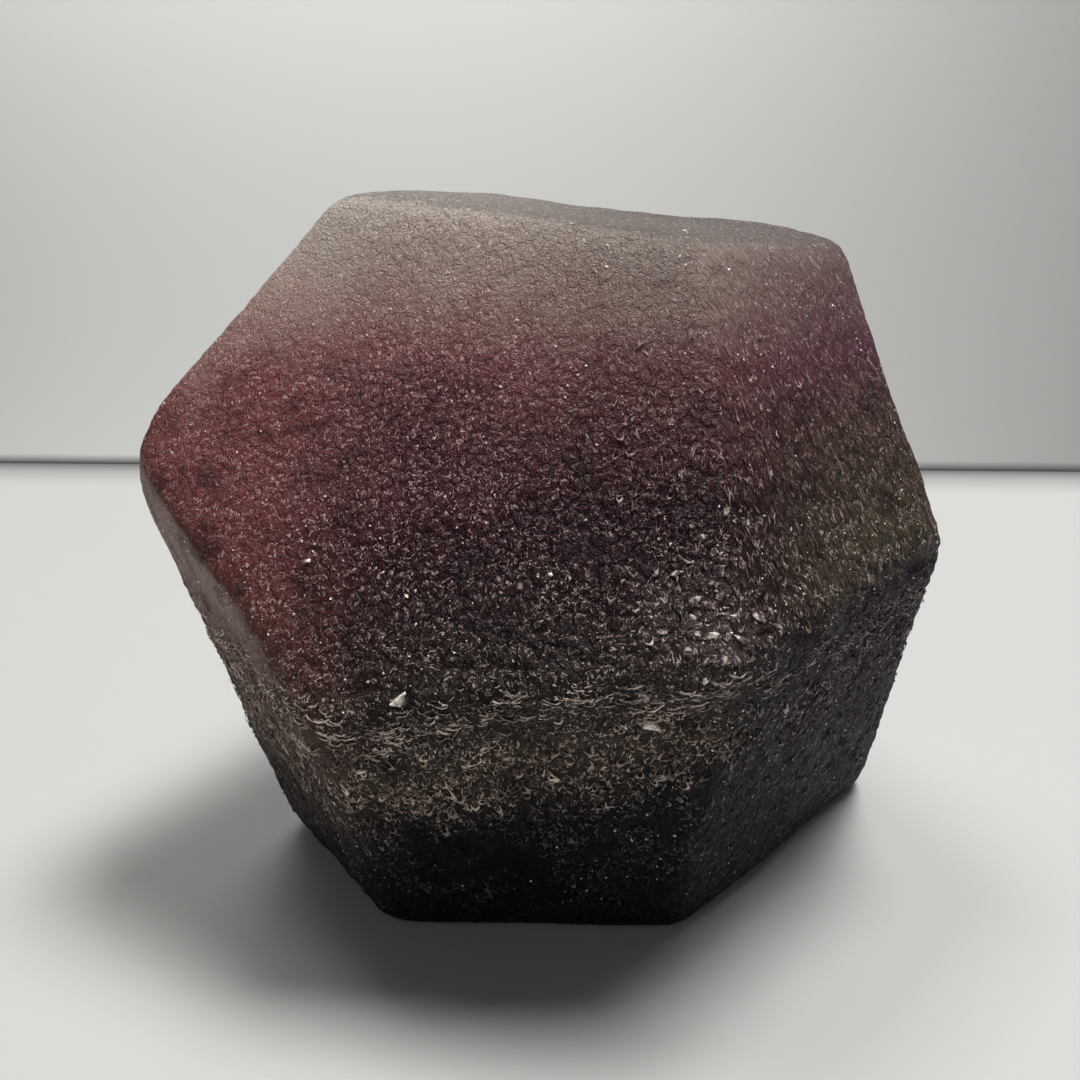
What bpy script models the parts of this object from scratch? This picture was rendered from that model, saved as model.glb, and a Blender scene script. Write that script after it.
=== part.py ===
"""A fluorite dodecahedron: one weathered crystal with twelve faces, standing on one of them.

The crystal is cut from a block by its twelve face planes.  Its edges are then rounded and its
skin is worn into terraces, lumps, flutes and ledges, while the base face stays flat.
Units are metres, +Z is up, the front looks towards -Y, and the origin is under the middle of
the crystal on the surface that it stands on.
"""
import math

import bmesh
import bpy
from mathutils import Vector, noise

MM = 0.001

# ---- Driving dimensions ---------------------------------------------------------------------
# A perfect crystal that stands on a face has a level top, two upright sides, and four upper and
# four lower faces that rise or fall by 30 degrees, in pairs on each side of its long axis.
CRYSTAL_TURN = 20              # degrees from the front to the long axis, towards the right
PAIR_TURN = math.degrees(math.atan(math.sqrt(0.5)))    # a pair's two faces turn off that axis by this
UPPER, LOWER = 30, -30


def face(perfect_turn, perfect_rise, turned_more, raised_more, reach):
    """One face's turn from the front and rise above level in degrees, and its reach in metres.

    This crystal grew unevenly, so each face stands some degrees off its perfect direction and
    has its own reach, in millimetres, from the heart of the crystal.
    """
    return CRYSTAL_TURN + perfect_turn + turned_more, perfect_rise + raised_more, reach * MM


FACES = {
    "upper_front": face(-PAIR_TURN, UPPER, 1, 4, 22.5),
    "upper_right": face(PAIR_TURN, UPPER, -8, -1, 25.0),
    "lower_front": face(-PAIR_TURN, LOWER, 15, 10, 25.5),
    "lower_right": face(PAIR_TURN, LOWER, -5, 13, 24.5),
    "left": face(-90, 0, 16, -18, 28.5),
    "right": face(90, 0, 0, 8, 24.5),
    "top": face(45, 90, 0, -6, 27.5),
    "base": face(0, -90, 0, 0, 25.0),
    "upper_left": face(180 + PAIR_TURN, UPPER, 6, -2, 27.0),
    "lower_left": face(180 + PAIR_TURN, LOWER, 6, 20, 24.0),
    "upper_back": face(180 - PAIR_TURN, UPPER, 4, 0, 24.5),
    "lower_back": face(180 - PAIR_TURN, LOWER, 4, 0, 25.5),
}
BLOCK_SIDE = 100 * MM          # the block that the crystal is cut from
GRID_LEVELS = 4                # each halves the facets of the skin
EDGE_SOFTNESS = 0.55 * MM      # how far the weathering has eaten into the edges
BASE_FLATNESS = 0.06 * MM      # what lies this close to the base plane is part of the flat base

# Relief of the skin: how far each form stands up or sinks in, and how wide it is
SWELL_HEIGHT = 0.16 * MM
SWELL_WIDTH = 13 * MM
TERRACE_STEP = 0.10 * MM
TERRACE_WIDTH = 17 * MM
TERRACES = 5
LUMP_HEIGHT = 0.14 * MM
LUMP_WIDTH = 4.2 * MM
FLUTE_HEIGHT = 0.24 * MM
FLUTE_WIDTH = 3.6 * MM
FLUTE_LENGTH = 15 * MM
LEDGE_HEIGHT = 0.8 * MM
LEDGE_DROP = 0.9 * MM          # how far below the edge the ledge stands out most
LEDGE_WIDTH = 1.7 * MM
LIP_LENGTH = 4.5 * MM
PIT_DEPTH = 1.1 * MM
PIT_RADIUS = 2.3 * MM
PIT_OFFSET = Vector((1.6, 0.0, 0.5)) * MM
CHIP_DEPTH = 1.0 * MM
CHIP_RADIUS = 3.0 * MM
NICK_DEPTH = 0.3 * MM
NICK_RADIUS = 1.9 * MM
NICKS_PER_EDGE = 3
NICK_SPACING = 5.5 * MM
NICK_SCATTER = 2.5 * MM

LOWER_FACES = ("lower_front", "lower_right", "lower_left", "lower_back", "left")
LEDGE_EDGES = (                # where an upper face overhangs a lower one, and how strongly
    ("upper_front", "lower_front", 1.0),
    ("upper_right", "lower_right", 0.55),
    ("upper_back", "lower_back", 0.6),
)
NICKED_EDGES = (
    ("upper_right", "right"),
    ("lower_right", "right"),
    ("upper_back", "top"),
)

CRYSTAL_COLOR = (0.17, 0.09, 0.11, 1.0)
CRYSTAL_ROUGHNESS = 0.45
CRYSTAL_METALLIC = 0.0


# ---- The twelve planes ----------------------------------------------------------------------
def face_normal(name):
    turn, rise, _ = FACES[name]
    turn, rise = math.radians(turn), math.radians(rise)
    return Vector((math.sin(turn) * math.cos(rise), -math.cos(turn) * math.cos(rise), math.sin(rise)))


NORMALS = {name: face_normal(name) for name in FACES}


def height_over(name, point):
    """Signed distance of a point from one face plane, positive outside the crystal."""
    return NORMALS[name].dot(point) - FACES[name][2]


def corner(*names):
    """The point where three face planes meet."""
    a, b, c = (NORMALS[name] for name in names)
    reach_a, reach_b, reach_c = (FACES[name][2] for name in names)
    return (reach_a * b.cross(c) + reach_b * c.cross(a) + reach_c * a.cross(b)) / a.dot(b.cross(c))


def edge_point(first, second):
    """The point of an edge line nearest to the heart."""
    a, b = NORMALS[first], NORMALS[second]
    reach_a, reach_b = FACES[first][2], FACES[second][2]
    cosine = a.dot(b)
    share_a = (reach_a - reach_b * cosine) / (1 - cosine * cosine)
    share_b = (reach_b - reach_a * cosine) / (1 - cosine * cosine)
    return a * share_a + b * share_b


# ---- The rounded crystal --------------------------------------------------------------------
def soft_height(point):
    """Height over the crystal with its edges rounded, and each face's share in that height."""
    heights = {name: height_over(name, point) for name in FACES}
    highest = max(heights.values())
    shares = {name: math.exp((height - highest) / EDGE_SOFTNESS) for name, height in heights.items()}
    total = sum(shares.values())
    shares = {name: share / total for name, share in shares.items()}
    return highest + EDGE_SOFTNESS * math.log(total), shares


def onto_rounded_skin(point):
    """Move a point in or out along its line from the heart until it lies on the rounded skin."""
    line = point.normalized()
    reach = point.length
    for _ in range(5):
        height, shares = soft_height(line * reach)
        slope = sum(share * NORMALS[name].dot(line) for name, share in shares.items())
        reach -= height / slope
    return line * reach


# ---- Relief of the skin ---------------------------------------------------------------------
def noise_at(point, width, seed):
    return noise.noise(point / width + Vector((seed, 2.7 * seed, -1.3 * seed)))


def terraces(point):
    """Flat-topped growth layers with soft steps between them."""
    level = TERRACES * (0.5 + noise_at(point, TERRACE_WIDTH, 3.0))
    tread = math.floor(level)
    riser = level - tread
    riser = min(1.0, max(0.0, (riser - 0.35) / 0.3))
    return TERRACE_STEP * (tread + riser * riser * (3 - 2 * riser) - 0.5 * TERRACES)


def flutes(point, shares):
    """Grooves that run down the lower faces."""
    total = 0.0
    for name in LOWER_FACES:
        if shares[name] < 0.05:
            continue
        normal = NORMALS[name]
        across = Vector((0, 0, 1)).cross(normal).normalized()
        down = normal.cross(across)
        place = Vector((point.dot(across) / FLUTE_WIDTH, point.dot(down) / FLUTE_LENGTH, 0.0))
        total += shares[name] * noise.noise(place + Vector((0, 0, FACES[name][0])))
    return FLUTE_HEIGHT * total


def ledges(point):
    """Lips that stand out just below the edges where an upper face overhangs a lower one."""
    total = 0.0
    for upper, lower, strength in LEDGE_EDGES:
        edge_gap = max(abs(height_over(upper, point)), abs(height_over(lower, point)))
        if edge_gap > 6 * LEDGE_WIDTH:
            continue
        below = height_over(lower, point) - height_over(upper, point) - LEDGE_DROP
        lip = math.exp(-(below / LEDGE_WIDTH) ** 2)
        along = 0.7 + 0.9 * noise_at(point, LIP_LENGTH, 8.0)
        total += strength * lip * max(0.0, along)
    return LEDGE_HEIGHT * total


HUB = onto_rounded_skin(corner("upper_front", "upper_right", "lower_front"))
CHIPPED_CORNER = onto_rounded_skin(corner("upper_front", "left", "upper_left"))


def hollows(point):
    """The pit beside the corner where the four front faces meet, and the chip off the left corner."""
    from_pit = (point - HUB - PIT_OFFSET).length / PIT_RADIUS
    from_chip = (point - CHIPPED_CORNER).length / CHIP_RADIUS
    return -PIT_DEPTH * math.exp(-from_pit ** 2) - CHIP_DEPTH * math.exp(-from_chip ** 2)


def nick_places():
    """Points spread unevenly along the nicked edges."""
    places = []
    for edge_number, (first, second) in enumerate(NICKED_EDGES):
        along = NORMALS[first].cross(NORMALS[second]).normalized()
        middle = onto_rounded_skin(edge_point(first, second))
        for number in range(NICKS_PER_EDGE):
            offset = (number - 0.5 * (NICKS_PER_EDGE - 1)) * NICK_SPACING
            offset += NICK_SCATTER * noise.noise(Vector((edge_number + 0.5, number + 0.3, 4.1)))
            places.append(onto_rounded_skin(middle + along * offset))
    return places


NICKS = nick_places()


def nicks(point):
    return -NICK_DEPTH * sum(math.exp(-((point - place).length / NICK_RADIUS) ** 2) for place in NICKS)


def relief(point, shares):
    """How far the worn skin stands out from the rounded crystal."""
    standing_out = SWELL_HEIGHT * noise_at(point, SWELL_WIDTH, 1.0)
    standing_out += LUMP_HEIGHT * noise_at(point, LUMP_WIDTH, 5.0)
    standing_out += terraces(point) + flutes(point, shares) + ledges(point)
    standing_out += hollows(point) + nicks(point)
    return standing_out * (1.0 - shares["base"]) ** 2


# ---- Making the crystal ---------------------------------------------------------------------
def clear_scene():
    for item in list(bpy.data.objects):
        bpy.data.objects.remove(item, do_unlink=True)


def cut_block():
    """A block cut down by the twelve planes to the sharp-edged crystal, around its heart."""
    crystal = bmesh.new()
    bmesh.ops.create_cube(crystal, size=BLOCK_SIDE)
    for name, normal in NORMALS.items():
        everything = crystal.verts[:] + crystal.edges[:] + crystal.faces[:]
        plane_point = normal * FACES[name][2]
        bmesh.ops.bisect_plane(crystal, geom=everything, dist=1e-7, plane_co=plane_point,
                               plane_no=normal, clear_outer=True)
        open_edges = [edge for edge in crystal.edges if edge.is_boundary]
        bmesh.ops.holes_fill(crystal, edges=open_edges)
    bmesh.ops.recalc_face_normals(crystal, faces=crystal.faces)
    mesh = bpy.data.meshes.new("sharp_crystal")
    crystal.to_mesh(mesh)
    crystal.free()
    return mesh


def grid_over(mesh):
    """The same crystal with each face divided into a fine grid."""
    guide = bpy.data.objects.new("grid_guide", mesh)
    bpy.context.scene.collection.objects.link(guide)
    grid = guide.modifiers.new("grid", "SUBSURF")
    grid.subdivision_type = "SIMPLE"
    grid.levels = GRID_LEVELS
    grid.render_levels = GRID_LEVELS
    evaluated = guide.evaluated_get(bpy.context.evaluated_depsgraph_get())
    fine = bpy.data.meshes.new_from_object(evaluated)
    bpy.data.objects.remove(guide, do_unlink=True)
    return fine


def weather(mesh):
    """Round the edges, wear the skin and flatten the base."""
    base_height = -FACES["base"][2]
    for vertex in mesh.vertices:
        point = onto_rounded_skin(vertex.co)
        _, shares = soft_height(point)
        outward = sum((NORMALS[name] * share for name, share in shares.items()), Vector())
        point = point + outward.normalized() * relief(point, shares)
        if point.z < base_height + BASE_FLATNESS:
            point.z = base_height
        vertex.co = point


def stand_on_origin(mesh):
    """Bring the underside to height zero and the middle of the crystal over the origin."""
    lows = [min(vertex.co[axis] for vertex in mesh.vertices) for axis in range(3)]
    highs = [max(vertex.co[axis] for vertex in mesh.vertices) for axis in range(3)]
    shift = Vector((-(lows[0] + highs[0]) / 2, -(lows[1] + highs[1]) / 2, -lows[2]))
    for vertex in mesh.vertices:
        vertex.co += shift


def fluorite():
    material = bpy.data.materials.new("fluorite")
    material.use_nodes = True
    shader = material.node_tree.nodes["Principled BSDF"]
    shader.inputs["Base Color"].default_value = CRYSTAL_COLOR
    shader.inputs["Roughness"].default_value = CRYSTAL_ROUGHNESS
    shader.inputs["Metallic"].default_value = CRYSTAL_METALLIC
    return material


def make_crystal():
    mesh = grid_over(cut_block())
    weather(mesh)
    stand_on_origin(mesh)
    mesh.name = "crystal"
    mesh.materials.clear()
    mesh.materials.append(fluorite())
    mesh.shade_smooth()
    collection = bpy.data.collections.new("fluorite_dodecahedron")
    bpy.context.scene.collection.children.link(collection)
    collection.objects.link(bpy.data.objects.new("crystal", mesh))


clear_scene()
make_crystal()
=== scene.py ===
import math
import random

import bmesh
import bpy
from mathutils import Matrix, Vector
from mathutils.bvhtree import BVHTree


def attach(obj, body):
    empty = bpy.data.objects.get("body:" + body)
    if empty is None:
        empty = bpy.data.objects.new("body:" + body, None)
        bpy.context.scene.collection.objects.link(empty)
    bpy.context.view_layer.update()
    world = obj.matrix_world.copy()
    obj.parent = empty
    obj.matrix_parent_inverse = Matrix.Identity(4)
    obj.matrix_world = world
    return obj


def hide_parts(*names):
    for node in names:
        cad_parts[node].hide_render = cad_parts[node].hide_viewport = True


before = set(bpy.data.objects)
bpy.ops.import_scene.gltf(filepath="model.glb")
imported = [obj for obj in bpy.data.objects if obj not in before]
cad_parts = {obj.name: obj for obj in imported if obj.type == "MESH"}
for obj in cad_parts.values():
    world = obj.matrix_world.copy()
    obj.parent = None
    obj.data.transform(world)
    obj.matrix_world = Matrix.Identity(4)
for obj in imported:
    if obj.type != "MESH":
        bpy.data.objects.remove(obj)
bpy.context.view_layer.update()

MM = 0.001

# ---- The crystal ----------------------------------------------------------------------------
# One weathered fluorite crystal with twelve faces.  It is solid, clear under a skin that is
# etched and frosted all over, and it stands free on one flat face.
CRYSTAL_TURN = 20              # degrees from the front to the crystal's long axis
PAIR_TURN = math.degrees(math.atan(math.sqrt(0.5)))    # a pair's two faces turn off that axis by this
LEDGE_FOOT = 21                # height in millimetres at which the ledge goes over into drips
ZONES_TOP = 54                 # height in millimetres up to which the colour zones run
FINER_LEVELS = 2               # how often the faces are halved both ways before the skin is etched
FLUORITE_IOR = 1.434
BLACK = (0.0, 0.0, 0.0, 1.0)


def grown_face(perfect_turn, perfect_rise, turned_more, raised_more, stretch):
    """The way a face looks, and how far its etch marks are drawn out down the face."""
    turn = math.radians(CRYSTAL_TURN + perfect_turn + turned_more)
    rise = math.radians(perfect_rise + raised_more)
    outward = Vector((math.sin(turn) * math.cos(rise), -math.cos(turn) * math.cos(rise), math.sin(rise)))
    return outward, stretch


CRYSTAL_FACES = (
    grown_face(-PAIR_TURN, 30, 1, 4, 1.25),          # upper front
    grown_face(PAIR_TURN, 30, -8, -1, 2.2),          # upper right
    grown_face(-PAIR_TURN, -30, 15, 10, 1.6),        # lower front
    grown_face(PAIR_TURN, -30, -5, 13, 1.8),         # lower right
    grown_face(-90, 0, 16, -18, 3.0),                # left
    grown_face(90, 0, 0, 8, 2.2),                    # right
    grown_face(45, 90, 0, -6, 1.5),                  # top
    grown_face(0, -90, 0, 0, 1.0),                   # base
    grown_face(180 + PAIR_TURN, 30, 6, -2, 1.6),     # upper left
    grown_face(180 + PAIR_TURN, -30, 6, 20, 2.0),    # lower left
    grown_face(180 - PAIR_TURN, 30, 4, 0, 1.6),      # upper back
    grown_face(180 - PAIR_TURN, -30, 4, 0, 1.8),     # lower back
)

LOWER_RIGHT, LEFT = CRYSTAL_FACES[3][0], CRYSTAL_FACES[4][0]


def face_ways(outward):
    """The ways across and down a face."""
    down = Vector((0, 0, -1)) - outward * outward.dot(Vector((0, 0, -1)))
    down = down.normalized() if down.length > 0.2 else Vector((0.3, -1, 0)).normalized()
    across = outward.cross(down).normalized()
    return across, down


def add_grain(mesh):
    """Give each corner its place across and down its own crystal face, in millimetres.

    On the lower faces the etch marks are drawn out only below the ledge.
    """
    grain = mesh.attributes.new("grain", "FLOAT_VECTOR", "CORNER")
    ways = [(outward, *face_ways(outward), stretch) for outward, stretch in CRYSTAL_FACES]
    for polygon in mesh.polygons:
        number = max(range(len(ways)), key=lambda n: ways[n][0].dot(polygon.normal))
        outward, across, down, stretch = ways[number]
        for loop in polygon.loop_indices:
            point = mesh.vertices[mesh.loops[loop].vertex_index].co / MM
            run = point.dot(down)
            if -0.9 < outward.z < -0.1:
                run = (LEDGE_FOOT - point.z) / -down.z
            if run > 0 or outward.z > -0.1:
                run /= stretch
            grain.data[loop].vector = (point.dot(across) + 131.0 * number, run + 40.0, 0.0)


class Wire:
    """A socket in a node tree that can be reckoned with like a number."""

    def __init__(self, tree, socket=None):
        self.tree, self.socket = tree, socket

    def node(self, kind, settings, sockets, output=0):
        """Add a node: its settings first, then the values or wires of its sockets."""
        made = self.tree.nodes.new(kind)
        for name, value in settings.items():
            if name == "stops":
                ramp = made.color_ramp
                while len(ramp.elements) < len(value):
                    ramp.elements.new(1.0)
                for element, (place, color) in zip(ramp.elements, value):
                    element.position, element.color = place, (*color, 1.0)
            else:
                setattr(made, name, value)
        for key, value in sockets.items():
            if isinstance(value, Wire):
                self.tree.links.new(value.socket, made.inputs[key])
            else:
                made.inputs[key].default_value = value
        return Wire(self.tree, made.outputs[output])

    def math(self, operation, *values):
        return self.node("ShaderNodeMath", {"operation": operation}, dict(enumerate(values)))

    def __add__(self, other):
        return self.math("ADD", self, other)

    def __radd__(self, other):
        return self.math("ADD", other, self)

    def __sub__(self, other):
        return self.math("SUBTRACT", self, other)

    def __rsub__(self, other):
        return self.math("SUBTRACT", other, self)

    def __mul__(self, other):
        return self.math("MULTIPLY", self, other)

    def __rmul__(self, other):
        return self.math("MULTIPLY", other, self)

    def __abs__(self):
        return self.math("ABSOLUTE", self)

    def __pow__(self, power):
        return self.math("POWER", self, power)

    def step(self, low, high):
        """A soft step from 0 at low to 1 at high; high may lie below low."""
        if high < low:
            return 1 - self.step(high, low)
        return self.node("ShaderNodeMapRange", {"interpolation_type": "SMOOTHSTEP"},
                         {"Value": self, "From Min": low, "From Max": high, "To Min": 0.0, "To Max": 1.0})

    def scaled(self, x, y, z):
        return self.node("ShaderNodeVectorMath", {"operation": "MULTIPLY"}, {0: self, 1: (x, y, z)})

    def moved(self, other):
        return self.node("ShaderNodeVectorMath", {"operation": "ADD"}, {0: self, 1: other})

    def axis(self, number):
        return self.node("ShaderNodeSeparateXYZ", {}, {0: self}, number)

    def noise(self, width, detail=2.0, output=0, dimensions="3D"):
        """Soft noise whose lumps are about this wide."""
        return self.node("ShaderNodeTexNoise", {"noise_dimensions": dimensions},
                         {"Vector": self, "Scale": 1 / width, "Detail": detail}, output)

    def scales(self, width, length, dimensions="2D"):
        """Overlapping scales: how far out and how far down a point lies on its own scale, and its shade."""
        size = (1 / width, 1 / length, 1.0) if dimensions == "2D" else (1 / width, 1 / width, -1 / length)
        place = self.scaled(*size)
        kind = {"voronoi_dimensions": dimensions, "feature": "F1"}
        out = self.node("ShaderNodeTexVoronoi", kind, {"Vector": place, "Scale": 1.0, "Randomness": 0.9}, 0)
        shade, centre = (Wire(self.tree, out.socket.node.outputs[number]) for number in (1, 2))
        lengthwise = 1 if dimensions == "2D" else 2
        return out, place.axis(lengthwise) - centre.axis(lengthwise), shade.axis(0)

    def lumps(self, width):
        """Etched lumps: how far out a point lies on its own lump, its lump's tilt there, and a shade."""
        place = self.scaled(1 / width, 1 / width, 1.0)
        far = place.node("ShaderNodeTexVoronoi", {"voronoi_dimensions": "2D", "feature": "F1"},
                         {"Vector": place, "Scale": 1.0, "Randomness": 1.0}, 0)
        tint, centre = (Wire(self.tree, far.socket.node.outputs[number]) for number in (1, 2))
        way = place.node("ShaderNodeVectorMath", {"operation": "SUBTRACT"}, {0: place, 1: centre})
        lean = way.node("ShaderNodeVectorMath", {"operation": "DOT_PRODUCT"},
                        {0: way, 1: tint.moved((-0.5, -0.5, -0.5)).scaled(2.0, 2.0, 0.0)}, 1)
        return far, way.axis(1), lean, tint.axis(2)

    def facing(self, way):
        """How squarely a normal looks the given way: 1 on that face of the crystal, 0 on the others."""
        dot = self.node("ShaderNodeVectorMath", {"operation": "DOT_PRODUCT"}, {0: self, 1: way}, 1)
        return dot.step(0.86, 0.96)

    def blend(self, other, factor):
        """A colour mix: this one where the factor is 0, the other where it is 1."""
        return self.node("ShaderNodeMix", {"data_type": "RGBA"}, {0: factor, 6: self, 7: other}, 2)

    def ramp(self, stops):
        return self.node("ShaderNodeValToRGB", {"stops": stops}, {0: self})


def keep(wire, geometry, name, value, kind="FLOAT_COLOR", domain="POINT"):
    """Store a value or a colour on the mesh."""
    return wire.node("GeometryNodeStoreNamedAttribute", {"data_type": kind, "domain": domain},
                     {"Geometry": geometry, "Name": name, "Value": value})


def stored(wire, name):
    """The colour or value that was stored on the mesh."""
    return wire.node("ShaderNodeAttribute", {"attribute_name": name}, {})


def new_tree(name, sizes):
    """Start a geometry tree with a mesh and named sizes as inputs, and give the inputs' wires."""
    tree = bpy.data.node_groups.new(name, "GeometryNodeTree")
    tree.interface.new_socket("Geometry", in_out="INPUT", socket_type="NodeSocketGeometry")
    for label, value in sizes.items():
        socket = tree.interface.new_socket(label, in_out="INPUT", socket_type="NodeSocketFloat")
        socket.default_value = value
    tree.interface.new_socket("Geometry", in_out="OUTPUT", socket_type="NodeSocketGeometry")
    start = tree.nodes.new("NodeGroupInput")
    return tree, {socket.name: Wire(tree, socket) for socket in start.outputs if socket.name}


def end_tree(tree, geometry, material):
    """End a geometry tree with real faces that carry their material."""
    geometry = geometry.node("GeometryNodeRealizeInstances", {}, {"Geometry": geometry})
    geometry = geometry.node("GeometryNodeSetMaterial", {}, {"Geometry": geometry, "Material": material})
    end = tree.nodes.new("NodeGroupOutput")
    tree.links.new(geometry.socket, end.inputs[0])


def in_millimetres(place):
    return place.scaled(1 / MM, 1 / MM, 1 / MM)


def vector_times(vector, factor):
    return vector.node("ShaderNodeVectorMath", {"operation": "SCALE"}, {0: vector, "Scale": factor})


def zone_level(place):
    """The height of a point among the colour zones, which waver, rise to the left and hang down
    in drips below the ledge, and the wavering by itself."""
    height, side = place.axis(2), place.axis(0)
    wobble = place.noise(9.0, 3.0) - 0.5
    level = height + (2.5 + 3.5 * height.step(28.0, 36.0)) * wobble
    level = level + 3.5 * side.step(5.0, -12.0) * height.step(40.0, 33.0)
    hanging = place.scaled(1.0, 1.0, 0.3).noise(1.3) - 0.5
    level = level + (7.0 * hanging - 2.5 * side.step(4.0, 10.0)) * height.step(22.0, 18.0)
    return level, wobble


def zone_colors(place, normal, level, wobble):
    """The colour of the skin and that of the pale edges of its etch marks, zone by zone, with painted light
    and shade in places.
    """
    height, side = place.axis(2), place.axis(0)
    zone = level + 3.5 * (place.noise(2.2, 3.0) - 0.5) * height.step(26.0, 34.0)
    zone = zone * (1 / ZONES_TOP)
    # Towards the foot the front goes near black: partly the crystal's own dark colour, partly painted shade
    # where the foot faces the shadowed table.
    front = zone.ramp((
        (0.00, (0.001, 0.001, 0.002)), (0.26, (0.003, 0.003, 0.007)), (0.36, (0.102, 0.074, 0.056)),
        (0.46, (0.060, 0.045, 0.038)), (0.52, (0.036, 0.019, 0.018)), (0.66, (0.070, 0.010, 0.020)),
        (0.80, (0.310, 0.105, 0.110)), (0.88, (0.540, 0.350, 0.300)), (1.00, (0.740, 0.630, 0.550))))
    flank = zone.ramp((
        (0.00, (0.090, 0.035, 0.110)), (0.12, (0.040, 0.028, 0.034)), (0.30, (0.030, 0.027, 0.022)),
        (0.46, (0.050, 0.040, 0.030)), (0.58, (0.120, 0.092, 0.052)), (0.70, (0.200, 0.108, 0.080)),
        (0.79, (0.230, 0.080, 0.120)), (0.88, (0.330, 0.190, 0.190)), (1.00, (0.440, 0.360, 0.310))))
    # Painted light: lighter, redder colours for the left corner, where light shines through the crystal.
    painted_glow = zone.ramp((
        (0.00, (0.010, 0.010, 0.014)), (0.36, (0.130, 0.080, 0.060)), (0.50, (0.240, 0.085, 0.066)),
        (0.62, (0.280, 0.080, 0.070)), (0.74, (0.340, 0.105, 0.100)), (0.88, (0.640, 0.440, 0.380)),
        (1.00, (0.820, 0.720, 0.620))))
    # Along the ledge the edges are pale cream: their wear, made paler still as painted highlight where the
    # faces below the ledge lie in shade.
    edging = zone.ramp((
        (0.00, (0.030, 0.030, 0.040)), (0.22, (0.250, 0.235, 0.245)), (0.32, (0.970, 0.760, 0.630)),
        (0.46, (0.980, 0.820, 0.720)), (0.51, (0.620, 0.490, 0.460)), (0.60, (0.760, 0.580, 0.560)),
        (0.80, (0.860, 0.580, 0.560)), (1.00, (0.900, 0.800, 0.720))))

    # The right flank is olive, the left corner is painted lighter and redder as painted light shining
    # through its thin edge, and below the ledge the edges fail in places.
    ground = front.blend(flank, (side + 8.0 * wobble).step(9.0, 25.0))
    ground = ground.blend(painted_glow, (side + 7.0 * wobble).step(-8.0, -22.0) * 0.9)
    edging = edging.blend(ground, level.step(17.0, 13.0) * place.noise(4.0, 3.0).step(0.50, 0.44))

    # The lower right face is dark, with violet along its outer edge.
    shaded = normal.facing(LOWER_RIGHT)
    ground = ground.blend((0.010, 0.009, 0.009, 1.0), 0.75 * shaded)
    edging = edging.blend((0.200, 0.180, 0.165, 1.0), 0.70 * shaded)
    violet = shaded * side.step(13.0, 20.0) * height.step(6.0, 10.0) * 0.5
    ground = ground.blend((0.055, 0.016, 0.075, 1.0), violet)

    # The top is greyer than the upper faces. The upper part is painted darker, as painted shade, a little
    # more towards the right.
    ground = ground.blend((0.260, 0.230, 0.210, 1.0), 0.8 * normal.axis(2).step(0.82, 0.99))
    painted_shade = (0.14 + 0.30 * side.step(-8.0, 10.0)) * level.step(27.0, 36.0)
    ground, edging = ground.blend(BLACK, painted_shade), edging.blend(BLACK, painted_shade)

    # A pale rough knot sits where the front faces meet, and the left face is pale above the ledge.
    knot = place.moved((-11.0, 28.5, -27.5))
    knot = knot.node("ShaderNodeVectorMath", {"operation": "LENGTH"}, {0: knot}, 1).step(6.5, 2.5)
    ground = ground.blend((0.150, 0.100, 0.100, 1.0), 0.6 * knot)
    edging = edging.blend((0.800, 0.700, 0.650, 1.0), 0.6 * knot)
    ground = ground.blend((0.620, 0.470, 0.400, 1.0), 0.8 * normal.facing(LEFT) * level.step(20.0, 34.0))

    # Small dark patches break up everything below the pale top zone.
    patches = (place.noise(2.4, 3.0) - 0.5) * 1.6
    ground = ground.blend((0.020, 0.008, 0.009, 1.0), level.step(46.0, 38.0) * patches.step(0.0, -0.3) * 0.6)
    edging = edging.blend(ground, level.step(46.0, 38.0) * patches.step(0.1, -0.2) * 0.6)
    return ground, edging


def relief(place, level, given):
    """How far the larger etch marks stand out, in millimetres: scales, a ledge and drips."""
    height = place.axis(2)
    far, down, _ = place.scales(1.5, 1.3, "3D")
    long_far, long_down, _ = place.scales(0.9, 2.6, "3D")
    scaly = down.step(-0.4, 0.5) - 0.8 * far * far
    fluted = long_down.step(-0.4, 0.5) - 0.8 * long_far * long_far
    ledge = level.step(20.5, 23.5) * level.step(30.0, 27.5)
    raised = (given["Ledge height"] * ledge + given["Scale height"]) * scaly
    raised = raised + given["Drip height"] * level.step(24.5, 20.5) * fluted
    return raised * height.math("DIVIDE", height, given["Flat foot"]).step(0.4, 2.0)


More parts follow.
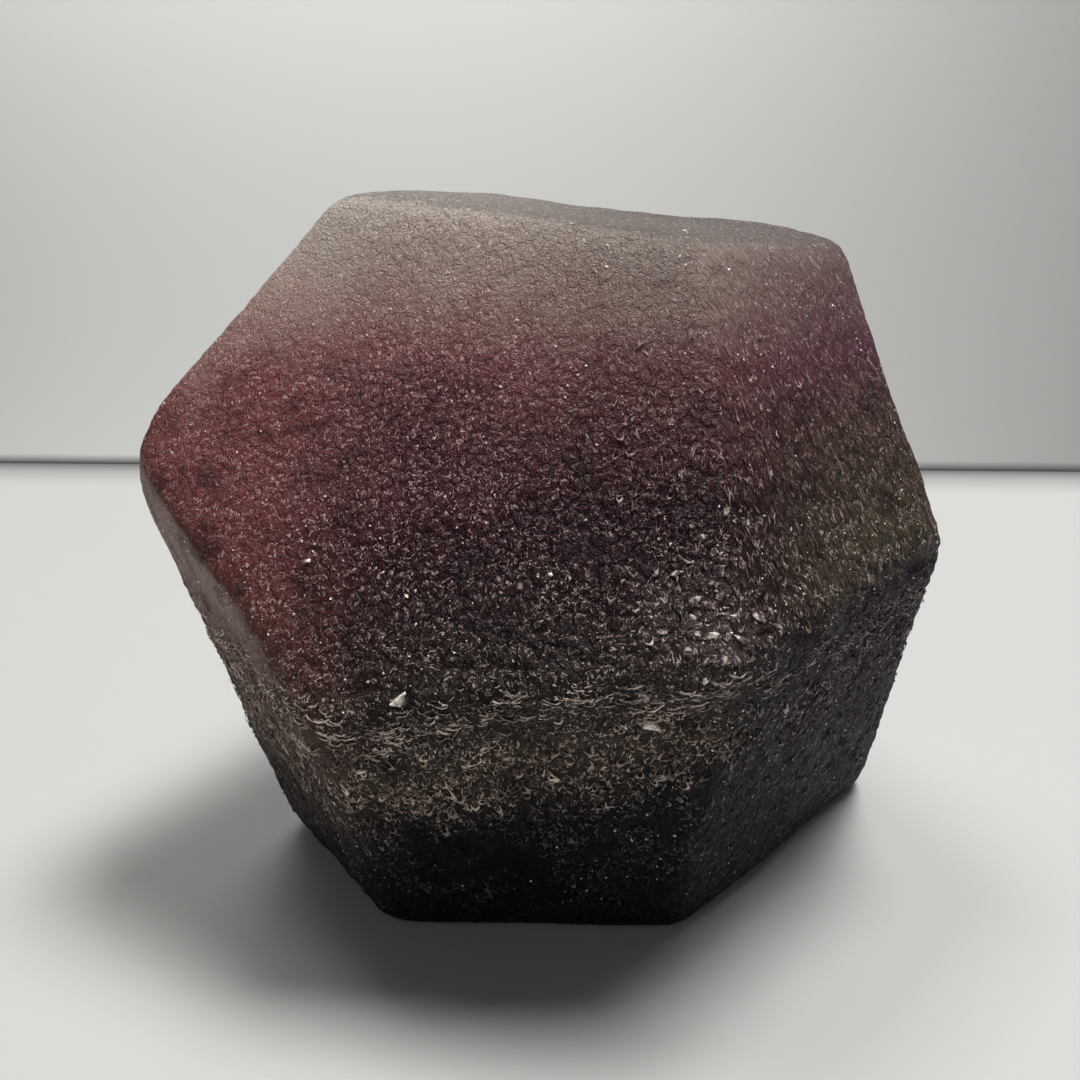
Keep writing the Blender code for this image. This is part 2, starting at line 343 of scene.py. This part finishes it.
def etching_tree():
    """Raise the larger etch marks and lay the colour zones of the crystal on its skin."""
    tree, given = new_tree("etching", {"Ledge height": 0.20, "Drip height": 0.15, "Scale height": 0.05,
                                       "Flat foot": 0.7})
    wire = Wire(tree)
    place = in_millimetres(wire.node("GeometryNodeInputPosition", {}, {}))
    grain = wire.node("GeometryNodeInputNamedAttribute", {"data_type": "FLOAT_VECTOR"}, {"Name": "grain"})
    normal = wire.node("GeometryNodeInputNormal", {}, {})
    level, wobble = zone_level(place)
    ground, edging = zone_colors(place, normal, level, wobble)
    push = vector_times(normal, relief(place, level, given) * MM)
    skin = wire.node("GeometryNodeSetPosition", {}, {"Geometry": given["Geometry"], "Offset": push})
    crust = (1 - 0.7 * level.step(34.0, 47.0)) * (1 - 0.5 * place.axis(0).step(-9.0, -20.0))
    bent = grain.moved(place.noise(1.6, 1.0, 1).moved((-0.5, -0.5, -0.5)).scaled(0.9, 0.9, 0.0))
    skin = keep(wire, skin, "ground", ground)
    skin = keep(wire, skin, "edging", edging)
    skin = keep(wire, skin, "drips", level.step(24.5, 20.5), "FLOAT")
    skin = keep(wire, skin, "crust", crust, "FLOAT")
    skin = keep(wire, skin, "level", level, "FLOAT")
    skin = keep(wire, skin, "marks", bent, "FLOAT_VECTOR", "CORNER")
    skin = wire.node("GeometryNodeSetShadeSmooth", {}, {"Geometry": skin})
    end_tree(tree, skin, fluorite)
    return tree


def new_fluorite(name, roughness):
    """A material of fluorite with its own roughness; give it with its shader and a wire."""
    material = bpy.data.materials.new(name)
    material.use_nodes = True
    shader = material.node_tree.nodes["Principled BSDF"]
    shader.inputs["Roughness"].default_value = roughness
    shader.inputs["IOR"].default_value = FLUORITE_IOR
    return material, shader, Wire(material.node_tree)


def frosted_fluorite():
    """The etched skin: lumps with pale crests of wear, partly painted highlight, painted glints, and painted
    shade in the hollows between the lumps, over clear plum fluorite.
    """
    matt, gloss = 0.62, 0.30
    material, shader, wire = new_fluorite("fluorite", matt)
    tree = material.node_tree
    marks, ground, edging, drips, crust = (stored(wire, name) for name in
                                           ("marks", "ground", "edging", "drips", "crust"))
    marks = Wire(tree, marks.socket.node.outputs["Vector"])
    frayed = marks.noise(0.30, 1.5, 1, "2D").moved((-0.5, -0.5, -0.5)).scaled(0.50, 0.50, 0.0).moved(marks)
    far, down, lean, shade = frayed.lumps(0.50)
    small_far, _, _, small_shade = frayed.scaled(1.0, 0.8, 1.0).lumps(0.16)
    bump_height = crust * (0.10 * lean - 0.20 * far.step(0.30, 0.72)) - 0.06 * small_far.step(0.1, 0.8)
    # Pale crests of wear ring the upper side of each lump, the lower side in the drips, placed where light
    # from above would catch them: partly painted highlight.
    upper = down * (1 - 2 * drips)
    crest = abs(far - 0.52 + 0.24 * shade).step(0.085, 0.015)
    crest = crest * upper.step(0.0, -0.25) * shade.step(0.1, 0.7)
    # Painted glints: small bright dots on some of the small lumps, which are also made less rough.
    painted_glint = small_far.step(0.34, 0.16) * small_shade.step(0.62, 0.90)
    wear_and_highlight = crest * (0.35 + 0.65 * small_far.step(0.65, 0.30)) + painted_glint
    wear_and_highlight = wear_and_highlight.math("MINIMUM", wear_and_highlight, 1.0)
    # Painted shade: darker towards the edges of the lumps, in the hollows between them.
    painted_hollow_shade = crust * (0.4 * small_far.step(0.30, 0.62) + 0.3 * far.step(0.45, 0.72))
    color = ground.blend(BLACK, painted_hollow_shade).blend(edging, wear_and_highlight)
    tree.links.new(color.socket, shader.inputs["Base Color"])
    bump = wire.node("ShaderNodeBump", {}, {"Strength": 1.0, "Distance": MM, "Height": bump_height})
    tree.links.new(bump.socket, shader.inputs["Normal"])
    tree.links.new((matt - gloss * wear_and_highlight).socket, shader.inputs["Roughness"])
    shader.inputs["Transmission Weight"].default_value = 0.3
    shader.inputs["Specular IOR Level"].default_value = 0.12
    plum = {"Color": (0.65, 0.22, 0.35, 1.0), "Density": 200.0}
    clear = wire.node("ShaderNodeVolumeAbsorption", {}, plum)
    tree.links.new(clear.socket, tree.nodes["Material Output"].inputs["Volume"])
    return material


fluorite = frosted_fluorite()


def evaluated(item):
    """An object's mesh with its modifiers applied."""
    return bpy.data.meshes.new_from_object(item.evaluated_get(bpy.context.evaluated_depsgraph_get()))


def add_object(name, mesh):
    item = bpy.data.objects.new(name, mesh)
    bpy.context.scene.collection.objects.link(item)
    return item


merged = bmesh.new()
merged.from_mesh(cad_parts["crystal"].data)
bmesh.ops.remove_doubles(merged, verts=merged.verts, dist=0.001 * MM)
smooth_mesh = bpy.data.meshes.new("crystal_skin")
merged.to_mesh(smooth_mesh)
merged.free()
guide = add_object("guide", smooth_mesh)
finer = guide.modifiers.new("finer", "SUBSURF")
finer.levels = finer.render_levels = FINER_LEVELS
skin_mesh = evaluated(guide)
guide.modifiers.remove(finer)
add_grain(skin_mesh)
guide.data = skin_mesh
guide.modifiers.new("etching", "NODES").node_group = etching_tree()
carved_mesh = evaluated(guide)
bpy.data.objects.remove(guide)
crystal = add_object("etched_crystal", carved_mesh)
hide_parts("crystal")
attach(crystal, "root")

# ---- Etched rims ----------------------------------------------------------------------------
# Thin curved rims that the etching has left standing: short level lips along the ledge, and
# upright U shapes in the drips below it.  They are of one piece with the crystal, and paler.
def random_value(wire, low, high, seed):
    return wire.node("FunctionNodeRandomValue", {"data_type": "FLOAT"}, {2: low, 3: high, "Seed": seed}, 1)


def random_turn(wire, low, high, seed):
    ends = {0: low, 1: high, "Seed": seed}
    return wire.node("FunctionNodeRandomValue", {"data_type": "FLOAT_VECTOR"}, ends, 0)


def strewn_points(wire, mesh, density, seed):
    return wire.node("GeometryNodeDistributePointsOnFaces", {"distribute_method": "RANDOM"},
                     {"Mesh": mesh, "Density": density, "Seed": seed})


def one_rim(wire, given):
    """An arc of triangular section, thin at both ends."""
    arc = wire.node("GeometryNodeCurveArc", {"mode": "RADIUS"},
                    {"Resolution": 6, "Radius": given["Rim radius"],
                     "Start Angle": math.radians(200), "Sweep Angle": math.radians(150)})
    ring = wire.node("GeometryNodeCurvePrimitiveCircle", {"mode": "RADIUS"},
                     {"Resolution": 3, "Radius": given["Rim thickness"]})
    along = wire.node("GeometryNodeSplineParameter", {}, {})
    taper = 0.25 + 3.0 * along * (1 - along)
    return wire.node("GeometryNodeCurveToMesh", {},
                     {"Curve": arc, "Profile Curve": ring, "Scale": taper, "Fill Caps": True})


def hugging(wire, rims, given):
    """Draw in whatever of the rims stands further off the skin than their reach."""
    skin = wire.node("GeometryNodeProximity", {"target_element": "FACES"}, {0: given["Geometry"]}, 0)
    away = Wire(wire.tree, skin.socket.node.outputs["Distance"])
    loose = 1 - wire.math("DIVIDE", given["Reach"], away)
    loose = loose.math("MAXIMUM", loose, 0.0)
    back = wire.node("ShaderNodeVectorMath", {"operation": "SUBTRACT"},
                     {0: skin, 1: wire.node("GeometryNodeInputPosition", {}, {})})
    return wire.node("GeometryNodeSetPosition", {}, {"Geometry": rims, "Offset": vector_times(back, loose)})


def rim_tree():
    tree, given = new_tree("rims", {
        "Rims in a square metre": 4.8e6, "Rim radius": 0.34 * MM, "Rim thickness": 0.066 * MM,
        "Rim lift": 0.06 * MM, "Crookedness": 0.60 * MM, "Reach": 0.16 * MM})
    wire = Wire(tree)
    level = wire.node("GeometryNodeInputNamedAttribute", {"data_type": "FLOAT"}, {"Name": "level"})
    place = in_millimetres(wire.node("GeometryNodeInputPosition", {}, {}))
    side, height = place.axis(0), place.axis(2)

    # Where they stand: thickest on the ledge's lips and in the drips, and in streaks on the right
    clusters = 0.35 + place.noise(3.0, 2.0).step(0.44, 0.60)
    lips = level.step(23.2, 24.2) * level.step(26.6, 25.4)
    hanging = level.step(14.0, 16.5) * level.step(25.0, 23.0)
    sparse = level.step(3.0, 8.0) * level.step(17.0, 14.0)
    streaks = side.step(4.0, 9.0) * side.step(22.0, 13.0) * level.step(27.0, 31.0) * level.step(48.0, 40.0)
    forward = wire.node("GeometryNodeInputNormal", {}, {}).axis(1).step(-0.2, -0.6)
    many = (0.3 + 0.7 * forward) * height.step(1.5, 4.0) * clusters
    many = many * (lips + 0.8 * hanging + 0.20 * sparse + 0.40 * streaks)
    spots = strewn_points(wire, given["Geometry"], many * given["Rims in a square metre"], 3)
    outward = Wire(tree, spots.socket.node.outputs["Normal"])
    spots = wire.node("GeometryNodeSetPosition", {},
                      {"Geometry": spots, "Offset": vector_times(outward, given["Rim lift"])})

    # How they lie: against the skin and upright, and level on the lips
    lie = wire.node("FunctionNodeAlignRotationToVector", {"axis": "Z"}, {"Vector": outward})
    lie = wire.node("FunctionNodeAlignRotationToVector", {"axis": "Y", "pivot_axis": "Z"},
                    {"Rotation": lie, "Vector": (0.0, 0.0, 1.0)})
    flat_lips = level.step(22.5, 24.0) * level.step(29.0, 26.5)
    sway = random_turn(wire, (-0.12, -0.12, -1.0), (0.12, 0.12, 1.0), 5)
    sway = vector_times(sway, 1 - 0.65 * flat_lips - 0.75 * streaks)
    lie = wire.node("FunctionNodeRotateRotation", {"rotation_space": "LOCAL"}, {0: lie, 1: sway})

    # How large they are: wide and flat on the lips, narrow in the streaks
    size = random_value(wire, 0.0, 1.0, 6)
    size = 0.35 + 0.95 * size * size
    long = random_value(wire, 0.7, 3.2, 7)
    stretch = wire.node("ShaderNodeCombineXYZ", {}, {
        0: size * (0.8 + 0.8 * flat_lips - 0.5 * streaks), 1: size * (long + flat_lips * (0.65 - long)),
        2: 0.6 + 0.8 * size})
    rims = wire.node("GeometryNodeInstanceOnPoints", {},
                     {"Points": spots, "Instance": one_rim(wire, given), "Rotation": lie, "Scale": stretch})
    # How pale each one is; the lips on the ledge are paler still, partly as painted highlight.
    pale = random_value(wire, 0.0, 1.0, 8)
    rims = keep(wire, rims, "pale", 0.3 + 0.7 * pale * pale + 0.5 * flat_lips, "FLOAT", "INSTANCE")
    rims = wire.node("GeometryNodeRealizeInstances", {}, {"Geometry": rims})
    crook = vector_times(place.noise(0.5, 1.0, 1).moved((-0.5, -0.5, -0.5)), given["Crookedness"])
    rims = wire.node("GeometryNodeSetPosition", {}, {"Geometry": rims, "Offset": crook})
    end_tree(tree, hugging(wire, rims, given), rim_fluorite)
    return tree


def pale_rims():
    """The rims take the skin's own colours: pale where wear shows, paler along the ledge as painted
    highlight, dark elsewhere.
    """
    material, shader, wire = new_fluorite("rim_fluorite", 0.35)
    ground, edging, pale = (stored(wire, name) for name in ("ground", "edging", "pale"))
    place = in_millimetres(wire.node("ShaderNodeTexCoord", {}, {}, "Object"))
    wear_and_highlight = pale * place.noise(0.4, 2.0).step(0.25, 0.45)
    wear_and_highlight = wear_and_highlight.math("MINIMUM", wear_and_highlight, 1.0)
    wire.tree.links.new(ground.blend(edging, wear_and_highlight).socket, shader.inputs["Base Color"])
    return material


def on_crystal(name, mesh):
    """Add a piece that clings to the crystal."""
    item = add_object(name, mesh)
    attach(item, "root")


def strewn(name, tree):
    """Make what a tree strews over the crystal, as one mesh."""
    guide = add_object("guide", crystal.data.copy())
    guide.modifiers.new(name, "NODES").node_group = tree
    mesh = evaluated(guide)
    bpy.data.objects.remove(guide)
    on_crystal(name, mesh)


rim_fluorite = pale_rims()
strewn("etched_rims", rim_tree())

# ---- Flakes and chips -----------------------------------------------------------------------
# Cleaved flakes of the same fluorite that still cling to the skin.  The smallest are specks that
# glitter all over it; a few larger chips sit along the ledge and near the top.
def flake_tree():
    tree, given = new_tree("flakes", {
        "Flakes in a square metre": 1.1e6, "Flake size": 0.10 * MM, "Flake thinness": 0.6})
    wire = Wire(tree)
    place = in_millimetres(wire.node("GeometryNodeInputPosition", {}, {}))
    height = place.axis(2)
    upward = wire.node("GeometryNodeInputNormal", {}, {}).axis(2).step(0.80, 0.97)
    many = 0.35 + 0.6 * height.step(19.0, 24.0) * height.step(36.0, 28.0)
    many = many + place.noise(6.0, 2.0).step(0.5, 0.62)
    many = many * height.step(1.0, 4.0) * (1 - 0.55 * upward)
    spots = strewn_points(wire, given["Geometry"], many * given["Flakes in a square metre"], 4)
    lie = Wire(tree, spots.socket.node.outputs["Rotation"])
    turn = random_turn(wire, (-0.9, -0.9, 0.0), (0.9, 0.9, math.tau), 5)
    lie = wire.node("FunctionNodeRotateRotation", {"rotation_space": "LOCAL"}, {0: lie, 1: turn})
    flake = wire.node("GeometryNodeMeshCone", {},
                      {"Vertices": 4, "Radius Top": 0.3, "Radius Bottom": 1.0, "Depth": 1.0})
    big = given["Flake size"] * (0.35 + 1.3 * random_value(wire, 0.0, 1.0, 6) ** 5.0)
    stretch = wire.node("ShaderNodeCombineXYZ", {}, {0: big, 1: big * 0.7, 2: big * given["Flake thinness"]})
    flakes = wire.node("GeometryNodeInstanceOnPoints", {},
                       {"Points": spots, "Instance": flake, "Rotation": lie, "Scale": stretch})
    flakes = keep(wire, flakes, "pale", random_value(wire, 0.2, 1.0, 9), "FLOAT", "INSTANCE")
    end_tree(tree, flakes, flake_fluorite)
    return tree


def glittering_flakes():
    material, shader, wire = new_fluorite("flake_fluorite", 0.2)
    shade = stored(wire, "pale").ramp(((0.0, (0.30, 0.24, 0.21)), (1.0, (0.95, 0.90, 0.84))))
    wire.tree.links.new(shade.socket, shader.inputs["Base Color"])
    return material


flake_fluorite = glittering_flakes()
strewn("clinging_flakes", flake_tree())

CHIPS = (                      # millimetres across the crystal and up it, and each chip's size
    (-15.5, 30.5, 0.6), (-8.5, 23.5, 1.4), (7.5, 22.0, 1.3), (-11.5, 17.5, 1.2), (-8.5, 29.0, 0.5),
    (1.0, 31.0, 0.4), (10.0, 51.5, 0.5), (9.5, 50.0, 0.4), (2.0, 52.0, 0.4), (5.5, 31.0, 0.4),
    (4.0, 24.5, 0.6), (-1.0, 24.0, 0.5), (10.5, 26.0, 0.5), (17.0, 20.5, 0.9), (11.0, 28.5, 0.9),
)
CHIP_POINTS = 8                # a chip is the hull of this many points
CRUMBLED = (11.0, 28.0)        # millimetres across and up, where the front faces of the crystal meet
CRUMBLED_REACH = (2.2, 3.2)    # how far the plates spread round that place, across and up
PLATES = 70
PLATE_SIZES = (0.5, 1.3)
IN_FRONT = -60                 # millimetres: the chips' places are sought from here towards the back


def chip_mesh(shape, place, outward, size, chance):
    """Add one cleaved chip: the hull of a few points strewn round its place."""
    across, down = face_ways(outward)
    points = []
    for _ in range(CHIP_POINTS):
        aside, along, out = (chance.uniform(-0.5, 0.5) * reach for reach in (size, 0.8 * size, 0.5 * size))
        points.append(shape.verts.new(place + across * aside + down * along + outward * out))
    hull = bmesh.ops.convex_hull(shape, input=points)
    bmesh.ops.delete(shape, geom=list(set(hull["geom_interior"] + hull["geom_unused"])), context="VERTS")


def chips(name, spots, lift, material):
    """Lay chips on the front of the skin, each at its place across and up, of its size."""
    skin = BVHTree.FromPolygons([vertex.co for vertex in crystal.data.vertices],
                                [polygon.vertices for polygon in crystal.data.polygons])
    shape = bmesh.new()
    for number, (aside, height, size) in enumerate(spots):
        place, outward, _, _ = skin.ray_cast(Vector((aside, IN_FRONT, height)) * MM, Vector((0, 1, 0)))
        chip_mesh(shape, place + outward * lift * size * MM, outward, size * MM, random.Random(number))
    bmesh.ops.recalc_face_normals(shape, faces=shape.faces)
    mesh = bpy.data.meshes.new(name)
    shape.to_mesh(mesh)
    shape.free()
    mesh.materials.append(material)
    on_crystal(name, mesh)


def crumbled_plates():
    """Places and sizes of the plates into which the skin has crumbled where the faces meet."""
    chance = random.Random(12)
    for _ in range(PLATES):
        aside, height = (chance.gauss(middle, reach) for middle, reach in zip(CRUMBLED, CRUMBLED_REACH))
        yield aside, height, chance.uniform(*PLATE_SIZES)


def chip_fluorite(name, dark, middle, light):
    """Cleaved fluorite, mottled from dark over a middle colour to light."""
    material, shader, wire = new_fluorite(name, 0.3)
    place = in_millimetres(wire.node("ShaderNodeTexCoord", {}, {}, "Object"))
    shade = place.noise(0.4, 3.0).ramp(((0.35, dark), (0.52, middle), (0.65, light)))
    wire.tree.links.new(shade.socket, shader.inputs["Base Color"])
    return material


chips("cleaved_chips", CHIPS, 0.15,
      chip_fluorite("chip_fluorite", (0.25, 0.20, 0.17), (0.75, 0.66, 0.58), (0.98, 0.95, 0.90)))
chips("crumbled_plates", crumbled_plates(), -0.06,
      chip_fluorite("plate_fluorite", (0.02, 0.01, 0.012), (0.11, 0.075, 0.075), (0.65, 0.55, 0.50)))

# ---- The table and the wall -----------------------------------------------------------------
# A plain pale table top that ends behind the crystal, and a plain pale wall some way beyond.
# Along the table's far edge its colour darkens, as painted shade, and a dark upright sheet there, fading out
# above the table, is painted shade as well.
TABLE_HALF = 0.9               # metres from the crystal to the table's other three edges
TABLE_EDGE = 129 * MM
DARKENING = 17 * MM            # the table's colour darkens, as painted shade, over this much before its far edge
# The dark upright sheet of painted shade at the far edge reaches this high and this deep.
SHADE_SHEET_HEIGHT = 2.0 * MM
SHADE_SHEET_DEPTH = 30 * MM
WALL_AWAY = 1200 * MM
WALL_SIDE = 3.0
WALL_FOOT, WALL_TOP = -1.5, 2.5
TABLE_WHITE = (0.50, 0.50, 0.485)


def sheet(name, corners, color, roughness):
    """One flat sheet of the set, which is not part of the crystal."""
    mesh = bpy.data.meshes.new(name)
    mesh.from_pydata(corners, [], [(0, 1, 2, 3)])
    item = add_object(name, mesh)
    paint = bpy.data.materials.new(name)
    paint.use_nodes = True
    shader = paint.node_tree.nodes["Principled BSDF"]
    shader.inputs["Base Color"].default_value = (*color, 1.0)
    shader.inputs["Roughness"].default_value = roughness
    mesh.materials.append(paint)
    return item


def upright(side, away, foot, top):
    """The corners of a sheet that faces the viewer."""
    return (-side, away, foot), (side, away, foot), (side, away, top), (-side, away, top)


def fading(item, axis, start, finish, socket, stops):
    """Let one socket of a sheet's paint follow a ramp from start to finish along one axis."""
    wire = Wire(item.data.materials[0].node_tree)
    place = wire.node("ShaderNodeTexCoord", {}, {}, "Object").axis(axis)
    way = wire.node("ShaderNodeMapRange", {}, {"Value": place, "From Min": start, "From Max": finish})
    wire.tree.links.new(way.ramp(stops).socket, wire.tree.nodes["Principled BSDF"].inputs[socket])


table = sheet("table", ((-TABLE_HALF, -TABLE_HALF, 0), (TABLE_HALF, -TABLE_HALF, 0),
                        (TABLE_HALF, TABLE_EDGE, 0), (-TABLE_HALF, TABLE_EDGE, 0)), TABLE_WHITE, 0.6)
# Painted shade: the table's colour darkens towards its far edge.
fading(table, 1, TABLE_EDGE - DARKENING, TABLE_EDGE, "Base Color",
       ((0.0, TABLE_WHITE), (0.6, (0.34, 0.34, 0.33)), (1.0, (0.13, 0.13, 0.13))))
# A dark upright sheet at the far edge, fading out above the table: painted shade.
edge_shade_sheet = sheet("table_edge_shade", upright(TABLE_HALF, TABLE_EDGE, -SHADE_SHEET_DEPTH, SHADE_SHEET_HEIGHT), (0.16, 0.16, 0.16), 0.8)
fading(edge_shade_sheet, 2, 0.0, SHADE_SHEET_HEIGHT, "Alpha", ((0.0, (1.0, 1.0, 1.0)), (1.0, (0.0, 0.0, 0.0))))
sheet("wall", upright(WALL_SIDE, WALL_AWAY, WALL_FOOT, WALL_TOP), (0.62, 0.62, 0.60), 0.8)

# ---- Light and camera -----------------------------------------------------------------------
# Two soft lights hang over the table, a strong one on the right and a weak one behind on the left.
# A faint one stands behind the viewer, two wash the wall from above and below, and the room gives
# a weak even fill.  The camera is close, which makes the crystal's near side large.
LOW_IN_CRYSTAL = (0.0, 0.0, 0.02)    # metres: where the lights that are not for the wall aim


def soft_light(name, place, target, width, height, power):
    lamp = bpy.data.lights.new(name, "AREA")
    lamp.shape = "RECTANGLE"
    lamp.size, lamp.size_y, lamp.energy = width, height, power
    item = add_object(name, lamp)
    item.location = place
    item.rotation_euler = (Vector(target) - Vector(place)).to_track_quat("-Z", "Y").to_euler()


soft_light("over the table", (0.27, 0.08, 1.00), LOW_IN_CRYSTAL, 0.40, 0.30, 11.9)
soft_light("behind on the left", (-0.28, 0.20, 1.00), LOW_IN_CRYSTAL, 0.30, 0.30, 3.2)
soft_light("behind the viewer", (-0.10, -0.90, 0.60), LOW_IN_CRYSTAL, 0.80, 0.50, 1.0)
soft_light("on the wall", (-0.3, 0.80, 0.60), (-0.3, 1.20, 0.25), 1.2, 0.3, 3.8)
soft_light("behind the table", (-0.3, 0.75, -0.9), (-0.3, 1.20, 0.0), 1.4, 0.4, 9.5)
room = bpy.data.worlds.new("room")
bpy.context.scene.world = room
room.use_nodes = True
room.node_tree.nodes["Background"].inputs["Color"].default_value = (1.0, 0.99, 0.97, 1.0)
room.node_tree.nodes["Background"].inputs["Strength"].default_value = 0.05

CAMERA_PLACE = Vector((2.6, -91.9, 54.6)) * MM
CAMERA_AIM = Vector((-0.5, -1.2, 25.8)) * MM
view = bpy.data.cameras.new("view")
view.sensor_width = 36.0
view.lens = 37.2
view.clip_start = 5 * MM
camera = add_object("view", view)
camera.location = CAMERA_PLACE
camera.rotation_euler = (CAMERA_AIM - CAMERA_PLACE).to_track_quat("-Z", "Y").to_euler()
bpy.context.scene.camera = camera
bpy.context.scene.view_settings.view_transform = "Standard"
